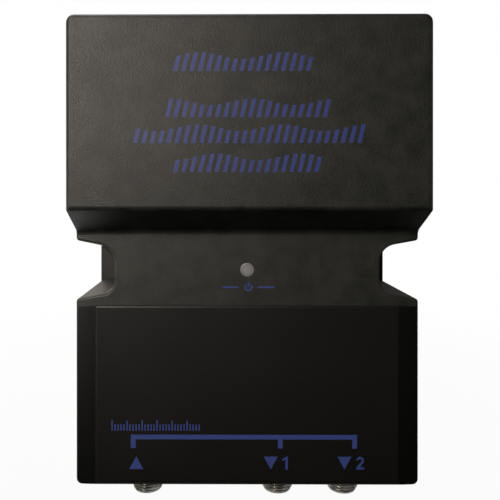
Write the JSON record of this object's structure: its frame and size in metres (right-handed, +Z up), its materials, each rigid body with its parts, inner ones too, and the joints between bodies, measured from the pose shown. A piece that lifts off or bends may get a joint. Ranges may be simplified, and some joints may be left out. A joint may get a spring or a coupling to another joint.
{
  "type": "tv signal amplifier",
  "caption": "Plug-in aerial signal amplifier: a stepped black case with finger grips, mains pins on the back and threaded coaxial sockets on the bottom edge.",
  "frame": {"origin": "on the wall face of the rear cover, midway between the live and neutral pins", "axes": "+X to the right seen from the front, +Y out of the back into the wall, +Z up; the front faces -Y"},
  "size_m": [0.092, 0.0657, 0.1333],
  "materials": {
    "case_plastic": "fine matt spark texture, black moulded plastic",
    "panel_plastic": "smoother satin black plate with blue print",
    "lens_plastic": "milky translucent plastic",
    "lamp_epoxy": "diffused green epoxy lamp",
    "spacer_nylon": "black nylon",
    "nickel": "bright nickel plate on die-cast zinc",
    "socket_core": "white insulating plastic",
    "contact_bronze": "sprung bronze",
    "pin_brass": "plain brass blade",
    "sleeve_plastic": "black insulating skin",
    "screw_steel": "zinc plated steel",
    "board_laminate": "green solder mask on glass laminate",
    "tinplate": "tinned steel sheet",
    "core_steel": "stacked silicon steel plates",
    "bobbin_nylon": "natural nylon",
    "winding_copper": "enamelled copper wire",
    "capacitor_can": "sleeved aluminium can",
    "chip_epoxy": "black moulding compound",
    "sink_aluminium": "plain aluminium strip",
    "fuse_glass": "clear glass tube",
    "ferrite": "dark sintered ferrite",
    "wire_sheath": "flat two-core ribbon in red vinyl"
  },
  "bodies": {
    "root": {"front_cover": "case_plastic", "rear_cover": "case_plastic", "label_panel": "panel_plastic", "indicator_lens": "lens_plastic", "indicator_lamp": "lamp_epoxy", "lamp_spacer": "spacer_nylon", "input_socket": "nickel", "output_socket_1": "nickel", "output_socket_2": "nickel", "socket_insulators": "socket_core", "socket_contacts": "contact_bronze", "live_pin": "pin_brass", "neutral_pin": "pin_brass", "earth_pin": "sleeve_plastic", "live_sleeve": "sleeve_plastic", "neutral_sleeve": "sleeve_plastic", "cover_screws": "screw_steel", "board_screws": "screw_steel", "amplifier_board": "board_laminate", "screening_can": "tinplate", "screening_lid": "tinplate", "amplifier_chip": "chip_epoxy", "splitter_core": "ferrite", "choke_coils": "winding_copper", "supply_board": "board_laminate", "transformer_core": "core_steel", "transformer_bobbin": "bobbin_nylon", "transformer_windings": "winding_copper", "reservoir_capacitor": "capacitor_can", "bridge_rectifier": "chip_epoxy", "voltage_regulator": "chip_epoxy", "heat_sink": "sink_aluminium", "mains_fuse": "fuse_glass", "fuse_clips": "contact_bronze", "supply_wires": "wire_sheath"}
  },
  "joints": []
}
